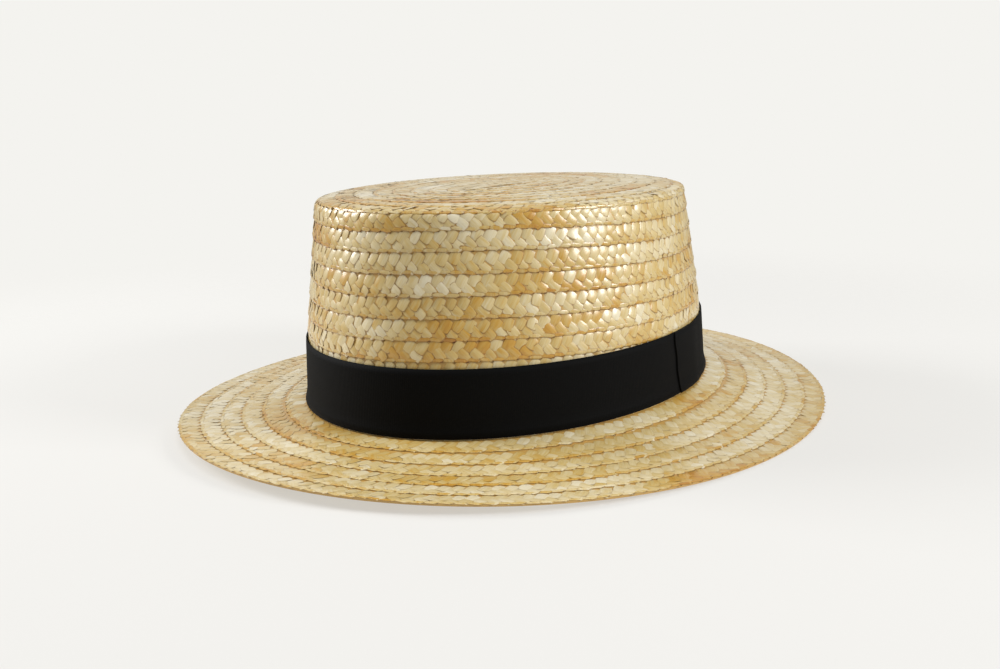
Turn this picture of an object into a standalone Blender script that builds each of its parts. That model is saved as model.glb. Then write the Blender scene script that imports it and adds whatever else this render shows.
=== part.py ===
"""A straw boater hat: an oval crown with a nearly flat tip, a gently sloping brim and a
ribbon round the foot of the crown. Crown and brim are sewn from rows of lapped straw plait.

Metres, +Z up. The wearer faces -Y, with the left ear towards +X. The pieces are laid out
from the headline, the level oval where the crown meets the brim. Their parent then tilts
the hat until its brim's edge lies level, as it rests on a table, and sets the origin under
the middle of the brim.
"""

from math import atan, cos, pi, sin

import bmesh
import bpy
from mathutils import Matrix, Vector

# Crown, measured over its outer face: half its width, and how much longer than wide it is
HEAD_HALF_WIDTH = 0.0825
OVAL_STRETCH = 0.0174
CROWN_HEIGHT = 0.0826
BAND_HEIGHT = 0.033
BAND_TAPER = 0.0020
CROWN_TAPER = 0.0072
FOOT_FLARE = 0.0009
FOOT_HEIGHT = 0.005
TIP_RISE = 0.0025
TIP_FRONT_RISE = 0.0019
TIP_FLATNESS = 8
TIP_EDGE_RADIUS = 0.0020
CROWN_WALL = 0.0022

# Straw plait, laid in rows that lap like shingles
ROW_STEP = 0.0009
ROW_LAP = 0.0022
FIRST_SIDE_ROW = 0.0063
SIDE_ROW_PITCH = 0.00795
TIP_ROW_PITCH = 0.0080
BRIM_ROW_PITCH = 0.0086

# Brim, with its edge's depths below the headline
BRIM_WIDTH = 0.0546
BRIM_WALL = 0.0022
FRONT_DROP = 0.0005
SIDE_DROP = 0.0103
BACK_DROP = 0.0111
BRIM_DISH = 0.0017
COLLAR_HEIGHT = 0.0090
COLLAR_WALL = 0.0014

# Ribbon, with one end lapped over the other on the wearer's left
RIBBON_WIDTH = 0.0258
RIBBON_THICKNESS = 0.0010
RIBBON_RISE = 0.0005
RIBBON_END_ANGLE = 2 * pi / 180
RIBBON_LAP = 0.020
RIBBON_RAMP = 0.015

# Gap between pieces that are sewn together on the real hat
CLEARANCE = 0.0003

# Fineness of the faceted solids
SEGMENTS = 56
CORNER_STEPS = 3
RAMP_STEPS = 4
INNER_TIP_SHARES = (0.85, 0.60)
STOP_MARGIN = 1e-6

STRAW_COLOUR = (0.72, 0.56, 0.30, 1.0)
RIBBON_COLOUR = (0.010, 0.010, 0.011, 1.0)


def clear_scene():
    for item in list(bpy.data.objects):
        bpy.data.objects.remove(item)


def material(name, colour, roughness):
    made = bpy.data.materials.new(name)
    made.use_nodes = True
    shader = made.node_tree.nodes["Principled BSDF"]
    shader.inputs["Base Color"].default_value = colour
    shader.inputs["Roughness"].default_value = roughness
    shader.inputs["Metallic"].default_value = 0.0
    return made


def oval_point(half_width, angle, z):
    """A point on the hat's oval, which keeps the same stretch at every size, so that rows
    of plait stay parallel."""
    return (half_width * cos(angle), (half_width + OVAL_STRETCH) * sin(angle), z)


def ring_angles():
    return [2 * pi * i / SEGMENTS for i in range(SEGMENTS)]


def side_half_width(z):
    """Half width of the crown's outer face at a height: nearly upright where the ribbon
    holds it in, leaning in above that, and flared over its foot."""
    held = BAND_TAPER * min(z / BAND_HEIGHT, 1.0)
    leaning = CROWN_TAPER * max(z - BAND_HEIGHT, 0.0) / (CROWN_HEIGHT - BAND_HEIGHT)
    above_foot = min(max(z / FOOT_HEIGHT, 0.0), 1.0)
    return HEAD_HALF_WIDTH - held - leaning + FOOT_FLARE * (1 - above_foot) ** 2


def side_levels(low, high):
    """Heights that follow the crown's side and its flared foot between two levels."""
    bends = [z for z in (FOOT_HEIGHT / 2, FOOT_HEIGHT, BAND_HEIGHT) if low < z < high]
    return [low] + bends + [high]


def tip_half_width():
    return side_half_width(CROWN_HEIGHT - TIP_EDGE_RADIUS)


def crown_point(half_width, angle, z):
    """A point of the crown's oval: the crown grows evenly taller towards the front."""
    x, y, z = oval_point(half_width, angle, z)
    tip_half_length = tip_half_width() + OVAL_STRETCH
    return (x, y, z * (1 - TIP_FRONT_RISE / CROWN_HEIGHT * y / tip_half_length))


def tip_height(half_width):
    """The tip is flat over most of its width and falls away near its edge."""
    share = half_width / tip_half_width()
    return CROWN_HEIGHT + TIP_RISE * (1 - share**TIP_FLATNESS)


def row_edges(outer, inner, pitch):
    """Half widths of the rows' edges from the middle outwards. The innermost row is between
    half a pitch and one and a half wide."""
    count = max(round((outer - inner) / pitch) - 1, 1)
    return [outer - pitch * i for i in range(count, -1, -1)]


def brim_sweep(half_width, angle):
    """Height of the brim's upper face: it slopes down to its edge, least at the front and
    most at the back, and sags slightly in between."""
    inner = side_half_width(0.0)
    outer = HEAD_HALF_WIDTH + BRIM_WIDTH
    share = min(max((half_width - inner) / (outer - inner), 0.0), 1.0)
    ends_drop = (FRONT_DROP + BACK_DROP) / 2
    end_tilt = (BACK_DROP - FRONT_DROP) / 2
    edge_drop = SIDE_DROP + end_tilt * sin(angle) + (ends_drop - SIDE_DROP) * sin(angle) ** 2
    return -edge_drop * share - BRIM_DISH * 4 * share * (1 - share)


def brim_profile():
    """The brim's section, from the top of its collar over the upper face to the edge and
    back underneath, as half widths and depths below the sweep. Each row lies over the next
    one out. The innermost one turns up inside the crown, where it is sewn."""
    outer = HEAD_HALF_WIDTH + BRIM_WIDTH
    edges = row_edges(outer, side_half_width(0.0), BRIM_ROW_PITCH)
    seat = CROWN_WALL + CLEARANCE
    collar = side_levels(0.0, COLLAR_HEIGHT)
    profile = [(side_half_width(z) - seat, -z) for z in reversed(collar)]
    for edge in edges[:-1]:
        profile += [(edge, 0.0), (edge, ROW_STEP)]
    profile += [(outer, 0.0), (outer, BRIM_WALL - ROW_STEP)]
    for edge in reversed(edges[:-1]):
        tucked = edge - ROW_LAP
        profile += [(tucked, BRIM_WALL), (tucked, BRIM_WALL - ROW_STEP)]
    profile.append((side_half_width(0.0) - seat, BRIM_WALL))
    profile += [(side_half_width(z) - seat - COLLAR_WALL, -z) for z in collar]
    return profile


def brim_point(half_width, angle, depth):
    """A point at a depth below the sweep. The collar stands above it, along the crown."""
    if depth < 0:
        return crown_point(half_width, angle, -depth)
    return oval_point(half_width, angle, brim_sweep(half_width, angle) - depth)


def brim_rings():
    return [
        [brim_point(half_width, angle, depth) for angle in ring_angles()]
        for half_width, depth in brim_profile()
    ]


def resting_place():
    """Turns the hat until its brim's edge lies level from front to back, and puts the
    middle of its outline over the origin and its lowest point on the ground."""
    brim_half_length = HEAD_HALF_WIDTH + BRIM_WIDTH + OVAL_STRETCH
    tilt = Matrix.Rotation(atan((BACK_DROP - FRONT_DROP) / 2 / brim_half_length), 4, "X")
    points = [tilt @ Vector(point) for ring in brim_rings() for point in ring]
    xs, ys, zs = zip(*points)
    middle = Vector(((min(xs) + max(xs)) / 2, (min(ys) + max(ys)) / 2, min(zs)))
    return Matrix.Translation(-middle) @ tilt


def crown_profile():
    """The crown's section as half widths and heights: from the button in the middle of the
    tip over the rounded edge and down the outer face, then up the inner face and in under
    the tip. Each row lies over the next one out or down."""
    edge = tip_half_width()
    shoulder = CROWN_HEIGHT - TIP_EDGE_RADIUS
    rows = row_edges(edge, 0.0, TIP_ROW_PITCH)
    button = rows[0]
    profile = []
    for row in rows[:-1]:
        profile += [(row, tip_height(row)), (row, tip_height(row) - ROW_STEP)]
    corner = edge - TIP_EDGE_RADIUS
    corner_rise = tip_height(corner) - shoulder
    turns = [pi / 2 * step / CORNER_STEPS for step in range(CORNER_STEPS + 1)]
    for turn in turns:
        profile.append((corner + TIP_EDGE_RADIUS * sin(turn), shoulder + corner_rise * cos(turn)))
    profile.append((edge - ROW_STEP, shoulder))
    level = CROWN_HEIGHT - FIRST_SIDE_ROW
    while level - CLEARANCE > ROW_LAP:
        profile += [(side_half_width(level), level), (side_half_width(level) - ROW_STEP, level)]
        level -= SIDE_ROW_PITCH
    profile.append((side_half_width(CLEARANCE), CLEARANCE))
    inner_shoulder = shoulder - CROWN_WALL
    for z in side_levels(CLEARANCE, inner_shoulder):
        profile.append((side_half_width(z) - CROWN_WALL, z))
    ceiling = corner - CROWN_WALL
    profile.append((ceiling, tip_height(corner) - CROWN_WALL))
    for share in INNER_TIP_SHARES:
        profile.append((ceiling * share, tip_height(ceiling * share) - CROWN_WALL))
    profile.append((button, tip_height(button) - CROWN_WALL))
    return profile


def crown_rings():
    return [
        [crown_point(half_width, angle, z) for angle in ring_angles()]
        for half_width, z in crown_profile()
    ]


def band_offset(travel):
    """Gap between crown and ribbon at a distance along it from its outer end: the ribbon
    lies over its own inner end first, and then ramps down onto the crown."""
    lapped = CLEARANCE + RIBBON_THICKNESS + CLEARANCE
    share = min(max((travel - RIBBON_LAP) / RIBBON_RAMP, 0.0), 1.0)
    return lapped + (CLEARANCE - lapped) * share**2 * (3 - 2 * share)


def band_ring(angle, offset):
    """The ribbon's section at an angle: up its inner face and down its outer one."""
    levels = side_levels(RIBBON_RISE, RIBBON_RISE + RIBBON_WIDTH)
    outside = offset + RIBBON_THICKNESS
    inner = [crown_point(side_half_width(z) + offset, angle, z) for z in levels]
    outer = [crown_point(side_half_width(z) + outside, angle, z) for z in levels]
    return inner + outer[::-1]


def band_rings():
    """Sections along the ribbon, from its outer end once round to its inner end beneath.
    They share the crown's angles, so that its facets stay clear of the ribbon's."""
    half_length = HEAD_HALF_WIDTH + OVAL_STRETCH
    lap_end = RIBBON_END_ANGLE + RIBBON_LAP / half_length
    ramp = RIBBON_RAMP / half_length
    last = lap_end + 2 * pi
    own_stops = [lap_end + ramp * step / RAMP_STEPS for step in range(RAMP_STEPS + 1)]
    own_stops += [RIBBON_END_ANGLE, last]
    shared_stops = [angle + turn for turn in (0.0, 2 * pi) for angle in ring_angles()]
    stops = own_stops + [
        stop
        for stop in shared_stops
        if RIBBON_END_ANGLE < stop < last
        and all(abs(stop - own) > STOP_MARGIN for own in own_stops)
    ]
    return [
        band_ring(stop, band_offset((stop - RIBBON_END_ANGLE) * half_length))
        for stop in sorted(stops)
    ]


def extruded_shell(name, rings, joined_ends):
    """A closed mesh, made by extruding the first ring's edges to each ring in turn. Its two
    ends are bridged to each other, or else each is filled with a face."""
    shell = bmesh.new()
    place = shell.verts.layers.int.new("place")
    verts = [shell.verts.new(point) for point in rings[0]]
    for number, vert in enumerate(verts):
        vert[place] = number
    start = [shell.edges.new((verts[number - 1], verts[number])) for number in range(len(verts))]
    if not joined_ends:
        shell.faces.new(verts)
    loop = start
    for ring in rings[1:]:
        extruded = bmesh.ops.extrude_edge_only(shell, edges=loop)["geom"]
        moved = {item for item in extruded if isinstance(item, bmesh.types.BMVert)}
        for vert in moved:
            vert.co = ring[vert[place]]
        edges = [item for item in extruded if isinstance(item, bmesh.types.BMEdge)]
        loop = [item for item in edges if moved.issuperset(item.verts)]
    if joined_ends:
        bmesh.ops.bridge_loops(shell, edges=start + loop)
    else:
        bmesh.ops.edgeloop_fill(shell, edges=loop)
    bmesh.ops.recalc_face_normals(shell, faces=shell.faces)
    mesh = bpy.data.meshes.new(name)
    shell.to_mesh(mesh)
    shell.free()
    return mesh


def add_piece(name, rings, joined_ends, finish, parent):
    mesh = extruded_shell(name, rings, joined_ends)
    mesh.materials.append(finish)
    mesh.shade_smooth()
    mesh.set_sharp_from_angle(angle=pi / 6)
    piece = bpy.data.objects.new(name, mesh)
    bpy.context.scene.collection.objects.link(piece)
    piece.parent = parent


clear_scene()
headline = bpy.data.objects.new("headline", None)
bpy.context.scene.collection.objects.link(headline)
headline.matrix_world = resting_place()
add_piece("brim", brim_rings(), True, material("brim_straw", STRAW_COLOUR, 0.45), headline)
add_piece("crown", crown_rings(), False, material("crown_straw", STRAW_COLOUR, 0.45), headline)
add_piece("hat_band", band_rings(), False, material("grosgrain", RIBBON_COLOUR, 0.75), headline)
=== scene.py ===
"""Looks of the straw boater hat: rows of flat straw plait sewn round the crown and the brim,
and a grosgrain ribbon. Lengths are in metres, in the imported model's frame.
"""

from math import atan, cos, pi, radians, sin

import bmesh
import bpy
import numpy as np
from mathutils import Matrix, Vector


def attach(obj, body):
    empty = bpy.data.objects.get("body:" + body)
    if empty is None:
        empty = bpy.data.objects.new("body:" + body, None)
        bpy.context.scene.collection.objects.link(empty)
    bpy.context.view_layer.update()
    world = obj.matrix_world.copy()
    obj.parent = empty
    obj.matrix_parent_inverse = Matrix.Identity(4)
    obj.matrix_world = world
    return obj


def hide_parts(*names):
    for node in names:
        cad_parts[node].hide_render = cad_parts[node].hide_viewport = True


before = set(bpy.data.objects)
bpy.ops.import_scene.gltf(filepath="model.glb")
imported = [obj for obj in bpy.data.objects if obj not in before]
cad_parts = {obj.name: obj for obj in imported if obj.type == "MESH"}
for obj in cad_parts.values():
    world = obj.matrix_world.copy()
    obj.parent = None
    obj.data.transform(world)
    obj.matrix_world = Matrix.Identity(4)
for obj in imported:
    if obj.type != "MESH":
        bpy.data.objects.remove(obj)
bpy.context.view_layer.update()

# The hat's form
# A boater is blocked over an oval form: a crown with upright sides and a nearly flat tip, and
# a stiff brim that slopes a little to the sides and the back. It lies tilted by 2 degrees,
# on its brim's edge.

HEAD_HALF_WIDTH = 0.0825
OVAL_STRETCH = 0.0174
CROWN_HEIGHT = 0.0826
BAND_HEIGHT = 0.033
BAND_TAPER = 0.0020
CROWN_TAPER = 0.0072
FOOT_FLARE = 0.0009
FOOT_HEIGHT = 0.005
TIP_RISE = 0.0025
TIP_FRONT_RISE = 0.0019
TIP_FLATNESS = 8
TIP_EDGE_RADIUS = 0.0020
BRIM_WIDTH = 0.0546
FRONT_DROP = 0.0005
SIDE_DROP = 0.0103
BACK_DROP = 0.0111
BRIM_DISH = 0.0017
BRIM_EDGE = HEAD_HALF_WIDTH + BRIM_WIDTH
LYING_TILT = atan((BACK_DROP - FRONT_DROP) / 2 / (BRIM_EDGE + OVAL_STRETCH))
LYING_PLACE = Matrix.Translation((0.0, -0.000221, 0.011593)) @ Matrix.Rotation(LYING_TILT, 4, "X")


def side_half_width(z):
    """Half width of the crown's outer face at a height over the headline: nearly upright
    where the ribbon holds it in, leaning in above that, and flared over its foot."""
    held = BAND_TAPER * np.minimum(z / BAND_HEIGHT, 1.0)
    leaning = CROWN_TAPER * np.maximum(z - BAND_HEIGHT, 0.0) / (CROWN_HEIGHT - BAND_HEIGHT)
    above_foot = np.clip(z / FOOT_HEIGHT, 0.0, 1.0)
    return HEAD_HALF_WIDTH - held - leaning + FOOT_FLARE * (1 - above_foot) ** 2


TIP_HALF_WIDTH = side_half_width(CROWN_HEIGHT - TIP_EDGE_RADIUS)


def tip_height(half_width):
    return CROWN_HEIGHT + TIP_RISE * (1 - (half_width / TIP_HALF_WIDTH) ** TIP_FLATNESS)


def crown_section():
    """The crown's section from the middle of the tip over its rounded edge and down the
    side: how far along it each point lies, its half width and its height."""
    shoulder = CROWN_HEIGHT - TIP_EDGE_RADIUS
    corner = TIP_HALF_WIDTH - TIP_EDGE_RADIUS
    turn = np.linspace(0, pi / 2, 16)
    tip = np.linspace(0, corner, 200)
    side = np.linspace(shoulder, -0.004, 200)
    rounding = shoulder + (tip_height(corner) - shoulder) * np.cos(turn)
    half_width = np.concatenate([tip, corner + TIP_EDGE_RADIUS * np.sin(turn[1:]), side_half_width(side[1:])])
    height = np.concatenate([tip_height(tip), rounding[1:], side[1:]])
    along = np.concatenate([[0.0], np.cumsum(np.hypot(np.diff(half_width), np.diff(height)))])
    return along, half_width, height


CROWN_ALONG, CROWN_HALF_WIDTH, CROWN_LEVEL = crown_section()
SHOULDER_AT = float(np.interp(-(CROWN_HEIGHT - TIP_EDGE_RADIUS), -CROWN_LEVEL[150:], CROWN_ALONG[150:]))


def on_oval(half_width, angle, z):
    return np.stack([half_width * np.cos(angle), (half_width + OVAL_STRETCH) * np.sin(angle), z], -1)


def on_crown(along, angle):
    """Points of the crown's outer face, by their distance from the middle of the tip. Less
    than nothing is past the middle, on its other side."""
    half_width = np.sign(along) * np.interp(np.abs(along), CROWN_ALONG, CROWN_HALF_WIDTH)
    level = np.interp(np.abs(along), CROWN_ALONG, CROWN_LEVEL)
    spots = on_oval(half_width, angle, level)
    spots[..., 2] *= 1 - TIP_FRONT_RISE / CROWN_HEIGHT * spots[..., 1] / (TIP_HALF_WIDTH + OVAL_STRETCH)
    return spots


def on_brim(half_width, angle):
    """Points of the brim's upper face, by their half width."""
    inner = side_half_width(0.0)
    share = (half_width - inner) / (BRIM_EDGE - inner)
    ends_drop = (FRONT_DROP + BACK_DROP) / 2
    end_tilt = (BACK_DROP - FRONT_DROP) / 2
    drop = SIDE_DROP + end_tilt * np.sin(angle) + (ends_drop - SIDE_DROP) * np.sin(angle) ** 2
    return on_oval(half_width, angle, -drop * share - BRIM_DISH * 4 * share * (1 - share))


COLLAR_SEAT = 0.0033
COLLAR_FLARE = 0.0028
COLLAR_BEND = 0.0015


def in_collar(height, angle):
    """Points of the collar's inner face, which stands against the crown's wall and bends
    out into the brim at its foot."""
    bent = np.clip(1 - height / COLLAR_BEND, 0, 2) ** 2 / 4
    return on_oval(side_half_width(height) - COLLAR_SEAT + COLLAR_FLARE * bent, angle, height)


def over(form, across, angle, height):
    """Points at a height over the face of a form."""
    step = 0.0002
    turn = 0.002
    reach = np.maximum(across, 2 * step)
    down = form(reach + step, angle) - form(reach - step, angle)
    around = form(reach, angle + turn) - form(reach, angle - turn)
    normal = np.cross(down, around)
    normal /= np.maximum(np.linalg.norm(normal, axis=-1, keepdims=True), 1e-12)
    return form(across, angle) + normal * height[..., None]


# Straw plait
# The plait is braided flat from split wheat straws. Each straw crosses it slantwise, turns at
# the edge and crosses back, so that its face shows two tiers of leaves in a herringbone, and
# the turned straws make a narrow selvedge along the free edge.

PLAIT_WIDTH = 0.01015
PLAIT_THICKNESS = 0.00118
ROW_LAP = 0.0022
STITCH = 0.0047
CORE_GAP = 0.00014
EDGE_ROLL = 0.00018
ROLL_WIDTH = 0.0010

rng = np.random.default_rng(1907)


def add_object(name, mesh, material):
    piece = bpy.data.objects.new(name, mesh)
    bpy.context.scene.collection.objects.link(piece)
    mesh.materials.append(material)
    return piece


def points_of(mesh):
    points = np.empty(len(mesh.vertices) * 3, np.float32)
    mesh.vertices.foreach_get("co", points)
    return points.reshape(-1, 3).astype(float)


def set_points(mesh, points):
    mesh.vertices.foreach_set("co", points.astype(np.float32).ravel())
    mesh.update()


def lay_in_place(mesh):
    """Moves a mesh from the hat's own axes to the way the hat lies on the table."""
    mesh.transform(LYING_PLACE)
    mesh.update()


LEAF_ROUNDING = 0.26
# of the upper leaf, the lower leaf and the selvedge: the middle, the size before it is turned,
# the turn, the height of the rim, that of the crown over the rim, and the lean to one side
LEAVES = (
    ((0.0, 0.0057), (0.0048, 0.0056), radians(-31), -0.00012, 0.00030, 0.00007),
    ((0.0021, 0.0025), (0.0041, 0.0058), radians(43), -0.00020, 0.00027, 0.00007),
    ((0.0010, 0.0006), (0.0057, 0.0016), radians(-5), -0.00016, 0.00026, 0.0),
)


def straw_leaf(mesh, number, centre, size, slant, base, crown, lean, cuts):
    """One visible crossing of a split straw: a thin domed leaf with a flat back. It leans
    to one side, where it passes under its neighbour."""
    straw = mesh.verts.layers.int["straw"]
    rim = mesh.verts.layers.float["rim"]
    uv = mesh.loops.layers.uv["straw"]
    made = bmesh.ops.create_grid(mesh, x_segments=cuts[0], y_segments=cuts[1], size=1.0)
    verts = made["verts"]
    faces = {face for vert in verts for face in vert.link_faces}
    border = [edge for edge in {e for v in verts for e in v.link_edges} if edge.is_boundary]
    for face in faces:
        for loop in face.loops:
            flat = loop.vert.co
            loop[uv].uv = (flat.x * size[0] / 2 * 1000, flat.y * size[1] / 2 * 1000)
    turn = Matrix.Rotation(slant, 2)
    for vert in verts:
        # the cuts are drawn out towards the rim, where the leaf bends most
        u, v = (float(np.sign(c) * np.interp(abs(c), (0, 0.5, 1), (0, 0.74, 1))) for c in vert.co[:2])
        x = u * (1 - LEAF_ROUNDING * v * v) ** 0.5 * size[0] / 2
        y = v * (1 - LEAF_ROUNDING * u * u) ** 0.5 * size[1] / 2
        spot = turn @ Vector((x, y))
        dome = crown * (1 - abs(u) ** 2.5) * (1 - v**4) ** 0.5 + lean * u
        vert[straw] = number
        vert[rim] = max(abs(u), abs(v)) ** 2
        vert.co = (centre[0] + spot.x, centre[1] + spot.y, base + dome)
    for edge in border:
        edge.smooth = False
    back = bmesh.ops.contextual_create(mesh, geom=border)["faces"]
    for face in back:
        face.smooth = False


def plait_stitch(fine):
    """One stitch of plait, lying along +X with its free edge at y = 0: an upper and a lower
    leaf and a piece of selvedge."""
    mesh = bmesh.new()
    mesh.verts.layers.int.new("straw")
    mesh.verts.layers.float.new("rim")
    mesh.loops.layers.uv.new("straw")
    cuts = (4, 4) if fine else (2, 3)
    band = (3, 2) if fine else (2, 1)
    for number, (leaf, division) in enumerate(zip(LEAVES, (cuts, cuts, band))):
        straw_leaf(mesh, number, *leaf, division)
    for face in mesh.faces:
        face.smooth = True
    bmesh.ops.recalc_face_normals(mesh, faces=mesh.faces)
    made = bpy.data.meshes.new("plait_stitch")
    mesh.to_mesh(made)
    mesh.free()
    return made


def repeated(mesh, count, step):
    """The mesh repeated along +X by an Array modifier, as one mesh."""
    holder = bpy.data.objects.new("repeated", mesh)
    bpy.context.scene.collection.objects.link(holder)
    array = holder.modifiers.new("array", "ARRAY")
    array.count = count
    array.use_relative_offset = False
    array.use_constant_offset = True
    array.constant_offset_displace = (step, 0, 0)
    graph = bpy.context.evaluated_depsgraph_get()
    made = bpy.data.meshes.new_from_object(holder.evaluated_get(graph))
    bpy.data.objects.remove(holder)
    return made


class Course:
    """A run of plait sewn onto a form: the angle and the place of its free edge at each
    length along it, how deep it lies, and how far each row steps up onto the next."""

    def __init__(self, form, angle, edge, sink, step):
        self.form, self.angle, self.edge, self.sink = form, angle, edge, sink
        self.step = step
        middle = form(edge - 0.4 * PLAIT_WIDTH, angle)
        steps = np.linalg.norm(np.diff(middle, axis=0), axis=1)
        self.length = np.concatenate([[0.0], np.cumsum(steps)])

    def total(self):
        return float(self.length[-1])

    def sewn(self, points, inside):
        """Places points of the straight plait on the form. Seen from inside, the plait shows
        its back, with the selvedge along the other edge."""
        along, across, height = points.T
        if inside:
            across = PLAIT_WIDTH - across
            height = -PLAIT_THICKNESS - height
        angle = np.interp(along, self.length, self.angle)
        edge = np.interp(along, self.length, self.edge)
        sink = np.interp(along, self.length, self.sink)
        step = np.interp(along, self.length, self.step)
        if not inside:
            height = height - EDGE_ROLL * np.clip(1 - across / ROLL_WIDTH, 0, 1.4) ** 2
        level = height - step * across / (PLAIT_WIDTH - ROW_LAP) - sink
        return over(self.form, edge - across, angle, level)


# how much the leaves differ from each other: one standard deviation
LEAF_TURN = radians(3.5)
LEAF_GROWTH = 0.04
LEAF_SHIFT = 0.00012
LEAF_RISE = 0.00003
LEAF_TIP = 0.050
LEAF_TONE = 0.07
STRAND_TONE = 0.09
CLOUD_TONE = 0.15
SELVEDGE_TONE = 0.16


def wandering(count, spacing, generator):
    """Smooth noise of about unit size, with a new value every so many steps."""
    knots = generator.normal(size=count // spacing + 3)
    return np.interp(np.arange(count) / spacing, np.arange(len(knots)), knots)


def plait_leaves(name, course, start, end, inside, material, relief, golden=0.45, strands=7):
    """The leaves of straw along a stretch of a course, each a little out of line. Relief
    says how much of their height is left where the hat was pressed, and golden how far the
    straw is from bleached, from 0 to 1."""
    count = int((end - start) / STITCH)
    one = plait_stitch(not inside)
    per_stitch = len(one.vertices)
    mesh = repeated(one, count, STITCH)
    mesh.name = name
    points = points_of(mesh)
    kinds = np.empty(len(points), np.int32)
    mesh.attributes["straw"].data.foreach_get("value", kinds)
    stitch = np.arange(len(points)) // per_stitch
    leaf = stitch * 3 + kinds
    leaves = count * 3
    # every leaf turns, tips and shifts a little about its middle
    number = np.bincount(leaf, minlength=leaves)[:, None]
    middle = np.stack([np.bincount(leaf, points[:, axis], leaves) for axis in range(3)], 1) / number
    turn = rng.normal(0, LEAF_TURN, leaves)
    scale = rng.normal(1.0, LEAF_GROWTH, leaves)
    shift = rng.normal(0, LEAF_SHIFT, (leaves, 2))
    rise = rng.normal(0, LEAF_RISE, leaves)
    tip = rng.normal(0, LEAF_TIP, (leaves, 2))
    local = points - middle[leaf]
    c, s = np.cos(turn)[leaf] * scale[leaf], np.sin(turn)[leaf] * scale[leaf]
    x = local[:, 0] * c - local[:, 1] * s
    y = local[:, 0] * s + local[:, 1] * c
    z = local[:, 2] + tip[leaf, 0] * x + tip[leaf, 1] * y + rise[leaf]
    points = middle[leaf] + np.stack([x + shift[leaf, 0], y + shift[leaf, 1], z], 1)
    points[:, 2] *= relief
    # the painted shade at the leaves' rims is made weaker where the plait is pressed flat
    rims = np.empty(len(points), np.float32)
    mesh.attributes["rim"].data.foreach_get("value", rims)
    mesh.attributes["rim"].data.foreach_set("value", rims * np.float32(0.8 + 0.2 * relief))
    points[:, 0] += start
    # a straw keeps its colour from crossing to crossing
    upper = np.arange(leaves) // 3
    strand = (upper * 2 + np.arange(leaves) % 3) % strands
    own = np.stack([wandering(count + 1, 12, rng) for _ in range(strands)])
    cloud = wandering(count + 1, 6, rng)
    tone = golden + STRAND_TONE * own[strand, upper] + CLOUD_TONE * cloud[upper]
    tone += rng.normal(0, LEAF_TONE, leaves)
    tone[2::3] += SELVEDGE_TONE
    shade = mesh.attributes.new("tone", "FLOAT", "POINT")
    shade.data.foreach_set("value", tone[leaf].astype(np.float32))
    corners = np.empty(len(mesh.loops), np.int32)
    mesh.loops.foreach_get("vertex_index", corners)
    uv = np.empty(len(mesh.loops) * 2, np.float32)
    mesh.uv_layers["straw"].data.foreach_get("uv", uv)
    uv = uv.reshape(-1, 2) + rng.uniform(0, 90, (leaves, 2))[leaf[corners]]
    mesh.uv_layers["straw"].data.foreach_set("uv", uv.astype(np.float32).ravel())
    set_points(mesh, course.sewn(points, inside))
    lay_in_place(mesh)
    return add_object(name, mesh, material)


def plait_core(name, course, start, end, material):
    """The hidden straws between the leaves of the plait's two faces, as one thin strip. Their darker golden
    colour is painted shade where they show in the gaps between the leaves.
    """
    length = end - start
    mesh = bmesh.new()
    segments = int(length / 0.003)
    made = bmesh.ops.create_grid(mesh, x_segments=segments, y_segments=3, size=0.5)
    width = PLAIT_WIDTH - 0.0002
    for vert in made["verts"]:
        vert.co = (start + (vert.co.x + 0.5) * length, PLAIT_WIDTH / 2 + vert.co.y * width, -CORE_GAP)
    thickness = PLAIT_THICKNESS - 2 * CORE_GAP
    low = bmesh.ops.extrude_face_region(mesh, geom=mesh.faces[:])
    for item in low["geom"]:
        if isinstance(item, bmesh.types.BMVert):
            item.co.z -= thickness
    bmesh.ops.recalc_face_normals(mesh, faces=mesh.faces)
    strip = bpy.data.meshes.new(name)
    mesh.to_mesh(strip)
    mesh.free()
    set_points(strip, course.sewn(points_of(strip), False))
    strip.shade_smooth()
    strip.set_sharp_from_angle(angle=radians(40))
    lay_in_place(strip)
    return add_object(name, strip, material)


def linear(code):
    """A colour's linear values from its sRGB hex code."""
    parts = [int(code[i : i + 2], 16) / 255 for i in (0, 2, 4)]
    return [c / 12.92 if c <= 0.04045 else ((c + 0.055) / 1.055) ** 2.4 for c in parts] + [1.0]


def node(tree, kind, settings=(), links=()):
    """Adds a node. Settings go to its properties or, for a socket's name or number, to its
    inputs. Links join outputs of other nodes to its inputs."""
    made = tree.nodes.new(kind)
    for key, value in dict(settings).items():
        if isinstance(key, str) and hasattr(made, key) and key not in made.inputs:
            setattr(made, key, value)
        else:
            made.inputs[key].default_value = value
    for key, source in dict(links).items():
        tree.links.new(source, made.inputs[key])
    return made


def new_material(name):
    material = bpy.data.materials.new(name)
    material.use_nodes = True
    tree = material.node_tree
    tree.nodes.clear()
    return material, tree


def ramp(tree, source, stops):
    made = node(tree, "ShaderNodeValToRGB", links={"Fac": source})
    elements = made.color_ramp.elements
    while len(elements) < len(stops):
        elements.new(0.5)
    for element, (place, code) in zip(elements, stops):
        element.position = place
        element.color = linear(code)
    return made


# colour multiplied in as painted shade along the leaves' rims
LEAF_RIM_SHADE = "a87a34"
FIBRE_TONE = 0.50
STAIN_TONE = 0.60


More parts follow.
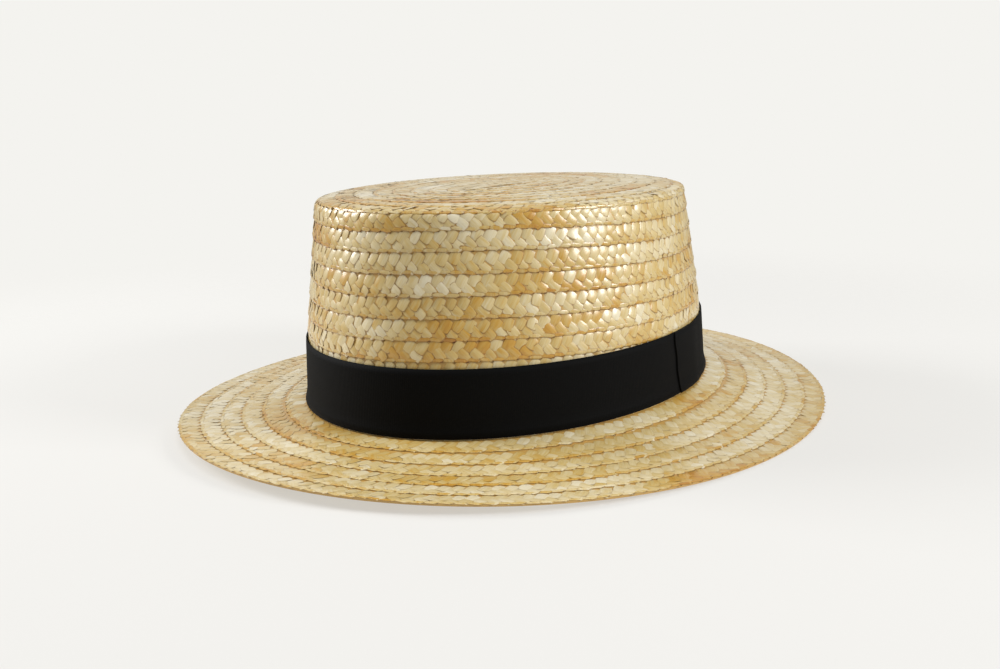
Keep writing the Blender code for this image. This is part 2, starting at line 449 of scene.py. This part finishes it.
def straw_material(name, stops, rough):
    """Split wheat straw, bleached and plaited damp: a waxy satin skin over long fibres, cream
    to golden from straw to straw, with painted shade darkening each leaf towards its rim."""
    material, tree = new_material(name)
    tone = node(tree, "ShaderNodeAttribute", {"attribute_name": "tone"})
    uv = node(tree, "ShaderNodeUVMap", {"uv_map": "straw"})
    rim = node(tree, "ShaderNodeAttribute", {"attribute_name": "rim"})
    # fibres: 6 to 8 fine ribs a millimetre, drawn three times as coarse so that they show
    along = node(tree, "ShaderNodeMapping", {"Scale": (2.1, 0.16, 1.0)}, {"Vector": uv.outputs[0]})
    fibre = node(
        tree,
        "ShaderNodeTexNoise",
        {"Scale": 1.0, "Detail": 3.0, "Roughness": 0.6},
        {"Vector": along.outputs[0]},
    )
    mottle = node(tree, "ShaderNodeMapping", {"Scale": (0.55, 0.16, 1.0)}, {"Vector": uv.outputs[0]})
    stain = node(tree, "ShaderNodeTexNoise", {"Scale": 1.0, "Detail": 2.0}, {"Vector": mottle.outputs[0]})
    spread = {"operation": "MULTIPLY_ADD", 1: FIBRE_TONE, 2: -FIBRE_TONE / 2}
    streak = node(tree, "ShaderNodeMath", spread, {0: fibre.outputs[0]})
    spread = {"operation": "MULTIPLY_ADD", 1: STAIN_TONE, 2: -STAIN_TONE / 2}
    patch = node(tree, "ShaderNodeMath", spread, {0: stain.outputs[0]})
    both = node(tree, "ShaderNodeMath", {"operation": "ADD"}, {0: streak.outputs[0], 1: patch.outputs[0]})
    value = node(tree, "ShaderNodeMath", {"operation": "ADD"}, {0: tone.outputs["Fac"], 1: both.outputs[0]})
    skin = ramp(tree, value.outputs[0], stops)
    # painted shade: each leaf darkens towards its rim, where it meets its neighbours
    side = node(tree, "ShaderNodeMapRange", {"From Min": 0.72, "To Max": 0.75}, {"Value": rim.outputs["Fac"]})
    colour = node(
        tree,
        "ShaderNodeMixRGB",
        {"blend_type": "MULTIPLY", "Color2": linear(LEAF_RIM_SHADE)},
        {"Fac": side.outputs[0], "Color1": skin.outputs[0]},
    )
    bump = node(tree, "ShaderNodeBump", {"Strength": 0.6, "Distance": 0.00012}, {"Height": fibre.outputs[0]})
    rough_span = {"To Min": rough - 0.08, "To Max": rough + 0.10}
    gloss = node(tree, "ShaderNodeMapRange", rough_span, {"Value": stain.outputs[0]})
    shader = node(
        tree,
        "ShaderNodeBsdfPrincipled",
        {"IOR": 1.5, "Coat Weight": 0.70, "Coat Roughness": 0.22},
        {"Base Color": colour.outputs[0], "Roughness": gloss.outputs[0], "Normal": bump.outputs[0]},
    )
    node(tree, "ShaderNodeOutputMaterial", links={"Surface": shader.outputs[0]})
    return material


STRAW_STOPS = (
    (0.00, "e6dbbc"),
    (0.28, "d8c594"),
    (0.50, "cdb270"),
    (0.72, "c69a3f"),
    (1.00, "b57c1c"),
)
straw = straw_material("split_wheat_straw", STRAW_STOPS, 0.38)
# the hidden straw is real, but its darker golden colour is painted shade for the gaps between the leaves
CORE_SHADE_STOPS = ((0.0, "c39a50"), (1.0, "a87832"))
shaded_core_straw = straw_material("inner_straw_painted_shade", CORE_SHADE_STOPS, 0.55)

# Crown
# One length of plait is sewn in a spiral from the middle of the tip out to its edge, over the
# edge and down the side, each row over the edge of the next, to the headline.

TIP_PITCH = 0.0080
SIDE_PITCH = 0.00803
CORNER_PITCH = 0.0062
FIRST_SIDE_ROW = 0.00632
ROW_STRAY = 0.00095
STRAY_CREST = radians(-50)
EDGE_WANDER = 0.00020
ANGLE_STEP = 0.02
TIP_START = 0.0035
TIP_STEP = 0.00030
SIDE_STEP = 0.00068
TIP_RELIEF = 0.38
FOOT_STOP = 0.0025
FOOT_ROW = 0.0026
OUTSIDE_DEPTH = 0.0680
INSIDE_DEPTH = 0.0795


def crown_course():
    """The crown's spiral. It runs down with the angle, and strays a little from level."""
    reach = CROWN_ALONG[-1] - FOOT_STOP
    # where the rows' edges lie at the angle 0, on the side and on the tip
    side_rows = [SHOULDER_AT + FIRST_SIDE_ROW + SIDE_PITCH * i for i in range(14)]
    tip_rows = [side_rows[0] - CORNER_PITCH - TIP_PITCH * i for i in range(12)]
    rows = sorted([row for row in tip_rows if row > -TIP_PITCH] + side_rows)
    angle = np.arange(0.0, 2 * pi * (len(rows) - 1), ANGLE_STEP)
    edge = np.interp(angle / (2 * pi), np.arange(len(rows)), rows)
    stray = ROW_STRAY * np.cos(3 * (angle - STRAY_CREST))
    edge = edge - stray * np.clip((edge - SHOULDER_AT + 0.003) / 0.008, 0, 1)
    edge += EDGE_WANDER * wandering(len(angle), 45, rng)
    keep = edge > TIP_START
    angle, edge = angle[keep], edge[keep]
    finish = np.argmax(edge > reach) + int(2 * pi / ANGLE_STEP)
    angle, edge = angle[:finish], np.minimum(edge[:finish], reach)
    step = np.interp(edge, (SHOULDER_AT - 0.002, SHOULDER_AT + 0.008), (TIP_STEP, SIDE_STEP))
    return Course(on_crown, angle, edge, np.zeros(len(angle)), step)


crown_run = crown_course()


def length_where(course, edge):
    """How far along a course its free edge first comes to a place on the form."""
    return float(course.length[np.argmax(course.edge > edge)])


OVER_SHOULDER = length_where(crown_run, SHOULDER_AT - 0.002)
UNDER_RIBBON = length_where(crown_run, SHOULDER_AT + OUTSIDE_DEPTH)
INSIDE_END = length_where(crown_run, SHOULDER_AT + INSIDE_DEPTH)
FOOT_START = length_where(crown_run, CROWN_ALONG[-1] - FOOT_ROW)

crown_core = plait_core("crown_inner_straw", crown_run, 0.0, crown_run.total(), shaded_core_straw)
tip_plait = plait_leaves("crown_tip_plait", crown_run, 0.0, OVER_SHOULDER, False, straw, TIP_RELIEF)
side_plait = plait_leaves("crown_side_plait", crown_run, OVER_SHOULDER, UNDER_RIBBON, False, straw, 1.0)
lining_plait = plait_leaves("crown_inside_plait", crown_run, 0.0, INSIDE_END, True, straw, 0.8)
foot_plait = plait_leaves("crown_foot_plait", crown_run, FOOT_START, crown_run.total(), False, straw, 0.5)
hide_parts("crown")
for piece in (crown_core, tip_plait, side_plait, foot_plait, lining_plait):
    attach(piece, "root")

# Brim
# The brim is sewn from its own length of plait, from the crown outwards. Each row lies over
# the next one out, the change from row to row is made at the back, and the plait's end is
# tucked under there.

BRIM_PITCH = 0.0086
BRIM_ROWS = 6
FIRST_ROW_SHIFT = 0.0012
TAIL_TUCK = 0.0030
TAIL_SINK = 0.0006
SHIFT_FROM = radians(60)
SHIFT_TO = radians(140)
BRIM_STEP = 0.00040
BRIM_RELIEF = 0.42


def brim_course():
    """Rows that keep their place all round but for the back, where each moves out by one."""
    angle = np.arange(SHIFT_FROM, SHIFT_TO + 2 * pi * BRIM_ROWS, ANGLE_STEP)
    turn = (angle - SHIFT_FROM) % (2 * pi)
    share = np.clip(turn / (SHIFT_TO - SHIFT_FROM), 0, 1)
    row = np.floor((angle - SHIFT_FROM) / (2 * pi)) + share**2 * (3 - 2 * share)
    edge = BRIM_EDGE - BRIM_PITCH * (BRIM_ROWS - row) - FIRST_ROW_SHIFT * np.clip(2 - row, 0, 1)
    edge += EDGE_WANDER * wandering(len(angle), 60, rng)
    tail = np.clip(row - BRIM_ROWS, 0, 1)
    edge = np.minimum(edge, BRIM_EDGE) - TAIL_TUCK * tail**2
    return Course(on_brim, angle, edge, TAIL_SINK * tail, np.full(len(angle), BRIM_STEP))


brim_run = brim_course()
brim_core = plait_core("brim_inner_straw", brim_run, 0.0, brim_run.total(), shaded_core_straw)
brim_plait = plait_leaves("brim_plait", brim_run, 0.0, brim_run.total(), False, straw, BRIM_RELIEF, 0.36)
under_plait = plait_leaves("brim_underside_plait", brim_run, 0.0, brim_run.total(), True, straw, BRIM_RELIEF)

# The innermost row turns up inside the crown, where it is sewn to the crown's foot. Its end
# laps over its beginning.
COLLAR_HEIGHT = 0.0090
COLLAR_LAP = 0.06
LAP_SINK = 0.0006
collar_angle = np.arange(0.0, 2 * pi + COLLAR_LAP, ANGLE_STEP)
level_row = np.zeros(len(collar_angle))
collar_sink = LAP_SINK * np.clip(1 - collar_angle / COLLAR_LAP / 2, 0, 1)
collar_run = Course(in_collar, collar_angle, level_row + COLLAR_HEIGHT, collar_sink, level_row)
collar_core = plait_core("collar_inner_straw", collar_run, 0.0, collar_run.total(), shaded_core_straw)
collar_plait = plait_leaves("collar_plait", collar_run, 0.0, collar_run.total(), False, straw, BRIM_RELIEF)
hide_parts("brim")
for piece in (brim_core, brim_plait, under_plait, collar_core, collar_plait):
    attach(piece, "root")

# Ribbon
# A 26 mm grosgrain ribbon of black rayon and cotton goes once round the foot of the crown. Its
# outer end, folded under and sewn down on the real hat, is drawn as one layer lapped over the inner one on
# the wearer's left.

RIBBON_WIDTH = 0.0264
RIBBON_THICKNESS = 0.00055
RIBBON_RISE = -0.0001
RIBBON_END = radians(2)
RIBBON_LAP = 0.020
RIBBON_RAMP = 0.015
RIB_PITCH = 0.00080
RIB_HEIGHT = 0.00006
RIBBON_STANDOFF = 0.00025
LAP_GAP = 0.0002
SEAM_SHIFT = 0.0031
SEAM_SLANT = 0.0022
SEAM_LENGTH = 0.030
SEAM_WAVE = 0.00030


def ribbon_mesh():
    """The ribbon flat, three cuts to a rib, with its outer face first, and the way it goes."""
    half_length = HEAD_HALF_WIDTH + OVAL_STRETCH
    angle = np.arange(RIBBON_END, RIBBON_END + 2 * pi + RIBBON_LAP / half_length, 0.0008)
    foot = CROWN_ALONG[-1] - 0.004
    rail = on_crown(np.full(len(angle), foot - 0.012), angle)
    travel = np.concatenate([[0.0], np.cumsum(np.linalg.norm(np.diff(rail, axis=0), axis=1))])
    length = travel[-1]
    ribs = int(length / RIB_PITCH)
    mesh = bmesh.new()
    made = bmesh.ops.create_grid(mesh, x_segments=ribs * 3, y_segments=10, size=0.5)
    uv = mesh.loops.layers.uv.new("ribbon")
    for face in mesh.faces:
        for loop in face.loops:
            along, across = loop.vert.co.x + 0.5, loop.vert.co.y + 0.5
            loop[uv].uv = (along * length * 1000, across * RIBBON_WIDTH * 1000)
    bmesh.ops.solidify(mesh, geom=mesh.faces[:], thickness=0.0)
    flat = bpy.data.meshes.new("ribbon")
    mesh.to_mesh(flat)
    mesh.free()
    return flat, angle, travel, length


def ribbon():
    """The ribbon laid round the crown, with its first end over its last."""
    flat, angle, travel, length = ribbon_mesh()
    points = points_of(flat)
    half = len(points) // 2
    along = (points[:, 0] + 0.5) * length
    across = points[:, 1]
    height = np.zeros(len(points))
    rib = RIB_HEIGHT * np.cos(2 * pi * along / RIB_PITCH) * (np.abs(across) < 0.48)
    height[:half] = RIBBON_THICKNESS
    share = np.clip((along - RIBBON_LAP) / RIBBON_RAMP, 0, 1)
    # the end that laps over has its edge a little out of square, with a slight wave
    seam = SEAM_SHIFT + SEAM_SLANT * (0.5 - across) + SEAM_WAVE * np.sin(across * 14)
    along = along + seam * np.clip(1 - along / SEAM_LENGTH, 0, 1)
    lap = (RIBBON_THICKNESS + LAP_GAP) * (1 - share**2 * (3 - 2 * share))
    sign = np.where(height > 0, 1.0, -1.0)
    level = RIBBON_STANDOFF + lap + height + rib * sign
    z = RIBBON_RISE + (across + 0.5) * RIBBON_WIDTH
    where = np.interp(-z, -CROWN_LEVEL[150:], CROWN_ALONG[150:])
    set_points(flat, over(on_crown, where, np.interp(along, travel, angle), level))
    return flat, length


def grosgrain_material():
    """Grosgrain of rayon over cotton cords: matt black, with a slight sheen along the ribs."""
    material, tree = new_material("black_rayon_grosgrain")
    uv = node(tree, "ShaderNodeUVMap", {"uv_map": "ribbon"})
    warp = node(tree, "ShaderNodeMapping", {"Scale": (0.3, 5.0, 1.0)}, {"Vector": uv.outputs[0]})
    thread = node(tree, "ShaderNodeTexNoise", {"Scale": 1.0, "Detail": 2.0}, {"Vector": warp.outputs[0]})
    colour = ramp(tree, thread.outputs[0], ((0.25, "040404"), (0.75, "080808")))
    bump = node(tree, "ShaderNodeBump", {"Strength": 0.3, "Distance": 0.0001}, {"Height": thread.outputs[0]})
    shader = node(
        tree,
        "ShaderNodeBsdfPrincipled",
        {
            "Roughness": 0.72,
            "IOR": 1.45,
            "Sheen Weight": 0.03,
            "Sheen Roughness": 0.4,
            "Specular IOR Level": 0.1,
        },
        {"Base Color": colour.outputs[0], "Normal": bump.outputs[0]},
    )
    node(tree, "ShaderNodeOutputMaterial", links={"Surface": shader.outputs[0]})
    return material


ribbon_cloth, ribbon_length = ribbon()
lay_in_place(ribbon_cloth)
ribbon_cloth.shade_smooth()
hat_ribbon = add_object("grosgrain_ribbon", ribbon_cloth, grosgrain_material())
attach(hat_ribbon, "root")
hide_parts("hat_band")

# Table, light and camera
# The hat lies on a plain pale table in soft studio light: a large softbox to the front left,
# a smaller one to the right, a wide one above and a dim panel behind.

PAPER = "f4f3ef"
TABLE_COLOUR = "9a9997"
TABLE_GLOW = 0.55
floor_mesh = bmesh.new()
bmesh.ops.create_circle(floor_mesh, cap_ends=True, segments=96, radius=4.0)
floor_data = bpy.data.meshes.new("table")
floor_mesh.to_mesh(floor_data)
floor_mesh.free()
paper, paper_tree = new_material("white_paper")
paper_spot = node(paper_tree, "ShaderNodeTexCoord")
paper_reach = node(
    paper_tree,
    "ShaderNodeVectorMath",
    {"operation": "LENGTH"},
    {0: paper_spot.outputs["Object"]},
)
paper_fade = node(
    paper_tree,
    "ShaderNodeMapRange",
    {"interpolation_type": "SMOOTHSTEP", "From Min": 0.20, "From Max": 0.55},
    {"Value": paper_reach.outputs["Value"]},
)
paper_lit = node(paper_tree, "ShaderNodeBsdfDiffuse", {"Color": linear(TABLE_COLOUR)})
paper_glow = node(paper_tree, "ShaderNodeEmission", {"Color": linear(PAPER), "Strength": TABLE_GLOW})
paper_shader = node(
    paper_tree,
    "ShaderNodeAddShader",
    links={0: paper_lit.outputs[0], 1: paper_glow.outputs[0]},
)
paper_far = node(paper_tree, "ShaderNodeBsdfTransparent")
paper_mix = node(
    paper_tree,
    "ShaderNodeMixShader",
    links={0: paper_fade.outputs[0], 1: paper_shader.outputs[0], 2: paper_far.outputs[0]},
)
node(paper_tree, "ShaderNodeOutputMaterial", links={"Surface": paper_mix.outputs[0]})
table = add_object("table", floor_data, paper)

world = bpy.data.worlds.new("studio")
bpy.context.scene.world = world
world.use_nodes = True
world_tree = world.node_tree
world_tree.nodes.clear()
seen = node(world_tree, "ShaderNodeBackground", {"Color": linear(PAPER), "Strength": 1.0})
lit = node(world_tree, "ShaderNodeBackground", {"Color": linear("ffffff"), "Strength": 0.33})
path = node(world_tree, "ShaderNodeLightPath")
chosen = node(
    world_tree,
    "ShaderNodeMixShader",
    links={0: path.outputs["Is Camera Ray"], 1: lit.outputs[0], 2: seen.outputs[0]},
)
node(world_tree, "ShaderNodeOutputWorld", links={"Surface": chosen.outputs[0]})


def softbox(name, azimuth, elevation, distance, size, power):
    """A square softbox that faces the hat. Azimuth 0 is in front of the hat, 90 to its left."""
    data = bpy.data.lights.new(name, "AREA")
    data.shape = "SQUARE"
    data.size = size
    data.energy = power
    lamp = bpy.data.objects.new(name, data)
    bpy.context.scene.collection.objects.link(lamp)
    turn, rise = radians(azimuth), radians(elevation)
    back = Vector((sin(turn) * cos(rise), -cos(turn) * cos(rise), sin(rise)))
    lamp.location = Vector((0, 0, 0.05)) + back * distance
    lamp.rotation_euler = back.to_track_quat("Z", "Y").to_euler()
    lamp.visible_camera = False
    return lamp


softbox("left_softbox", -64, 26, 1.2, 0.55, 12.0)
softbox("right_softbox", 109, 24, 1.2, 0.40, 9.5)
softbox("top_softbox", 40, 78, 1.3, 0.9, 6.0)
softbox("back_panel", 219, 16, 1.3, 1.2, 1.1)

CAMERA_AZIMUTH = radians(38.857)
CAMERA_ELEVATION = radians(14.456)
CAMERA_ROLL = radians(-0.783)
CAMERA_DISTANCE = 0.47903
back = Vector((
    sin(CAMERA_AZIMUTH) * cos(CAMERA_ELEVATION),
    -cos(CAMERA_AZIMUTH) * cos(CAMERA_ELEVATION),
    sin(CAMERA_ELEVATION),
))
view_data = bpy.data.cameras.new("camera")
view_data.sensor_width = 36.0
view_data.lens = 37.06
view_data.shift_x = -0.01249
view_data.shift_y = 0.03428
view_data.clip_start = 0.02
camera = bpy.data.objects.new("camera", view_data)
bpy.context.scene.collection.objects.link(camera)
turned = back.to_track_quat("Z", "Y").to_matrix() @ Matrix.Rotation(CAMERA_ROLL, 3, "Z")
camera.matrix_world = Matrix.Translation(LYING_PLACE.translation + back * CAMERA_DISTANCE) @ turned.to_4x4()
bpy.context.scene.camera = camera
bpy.context.scene.view_settings.view_transform = "Standard"
